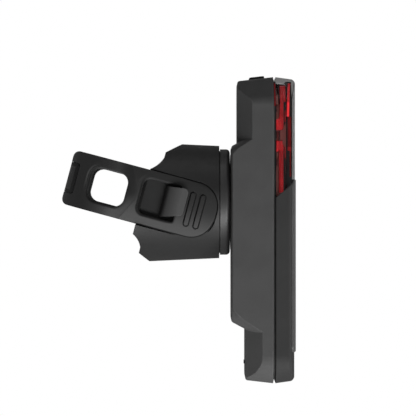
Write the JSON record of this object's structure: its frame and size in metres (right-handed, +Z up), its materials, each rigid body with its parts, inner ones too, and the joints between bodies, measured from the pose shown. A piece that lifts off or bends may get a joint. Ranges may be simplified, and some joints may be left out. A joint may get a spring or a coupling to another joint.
{
  "type": "bicycle rear light",
  "caption": "Slim rechargeable bicycle rear light that quarter-turns onto a seat-post mount held by a stretched rubber strap, with a clear upper lens over red light guides.",
  "frame": {"origin": "where the seat post's axis crosses the middle of the strap's width, on the light's middle plane", "axes": "+X to the rear of the bicycle, towards the lens; +Z up along the light's long side; +Y to the bicycle's left"},
  "size_m": [0.0748, 0.04, 0.0976],
  "materials": {
    "mount_plastic": "fine-textured black moulded plastic",
    "strap_rubber": "satin black moulded rubber",
    "pad_rubber": "soft black rubber",
    "socket_plastic": "satin dark grey plastic",
    "housing_plastic": "fine-textured dark grey moulded plastic",
    "lens_clear": "clear polycarbonate with a slight smoke tint",
    "cover_plastic": "smooth black plastic",
    "panel_plastic": "smooth dark grey plastic",
    "button_rubber": "black rubber",
    "steel": "bare steel",
    "cell_wrap": "grey film wrap",
    "foam": "black foam",
    "board": "green solder mask",
    "led": "yellow phosphor in a white case",
    "frame_plastic": "glossy black plastic",
    "guide_red": "clear red plastic",
    "optic_clear": "clear plastic"
  },
  "bodies": {
    "mount": {"mount_body": "mount_plastic", "saddle_pad": "pad_rubber", "strap": "strap_rubber", "socket_insert": "socket_plastic", "insert_screws": "steel"},
    "light": {"rear_housing": "housing_plastic", "front_lens": "lens_clear", "front_cover": "cover_plastic", "front_panel": "panel_plastic", "body_seal": "button_rubber", "bayonet_plate": "socket_plastic", "bayonet_screws": "steel", "housing_screws": "steel", "board_screws": "steel", "battery": "cell_wrap", "battery_pad": "foam", "main_board": "board", "sensor_board": "board", "led_board": "board", "front_leds": "led", "side_leds": "led", "optic_frame": "frame_plastic", "light_guide_left": "guide_red", "light_guide_right": "guide_red", "centre_lens": "optic_clear", "usb_socket": "steel", "button_boot": "button_rubber", "power_switch": "frame_plastic"},
    "button": {"power_button": "button_rubber"},
    "port_flap": {"port_cover": "button_rubber"}
  },
  "joints": [
    {"name": "quarter_turn", "type": "hinge", "parent": "mount", "child": "light", "pos_m": [0.03683, 0, -0.00414], "axis": [1, 0, 0], "range_deg": [0, 90]},
    {"name": "button_press", "type": "slide", "parent": "light", "child": "button", "axis": [0.1132, 0, -0.9936], "range_m": [0, 0.0005], "stiffness_N_per_m": 400},
    {"name": "port_cover_hinge", "type": "hinge", "parent": "light", "child": "port_flap", "pos_m": [0.04219, 0, -0.04925], "axis": [0, 1, 0], "range_deg": [0, 100]}
  ]
}
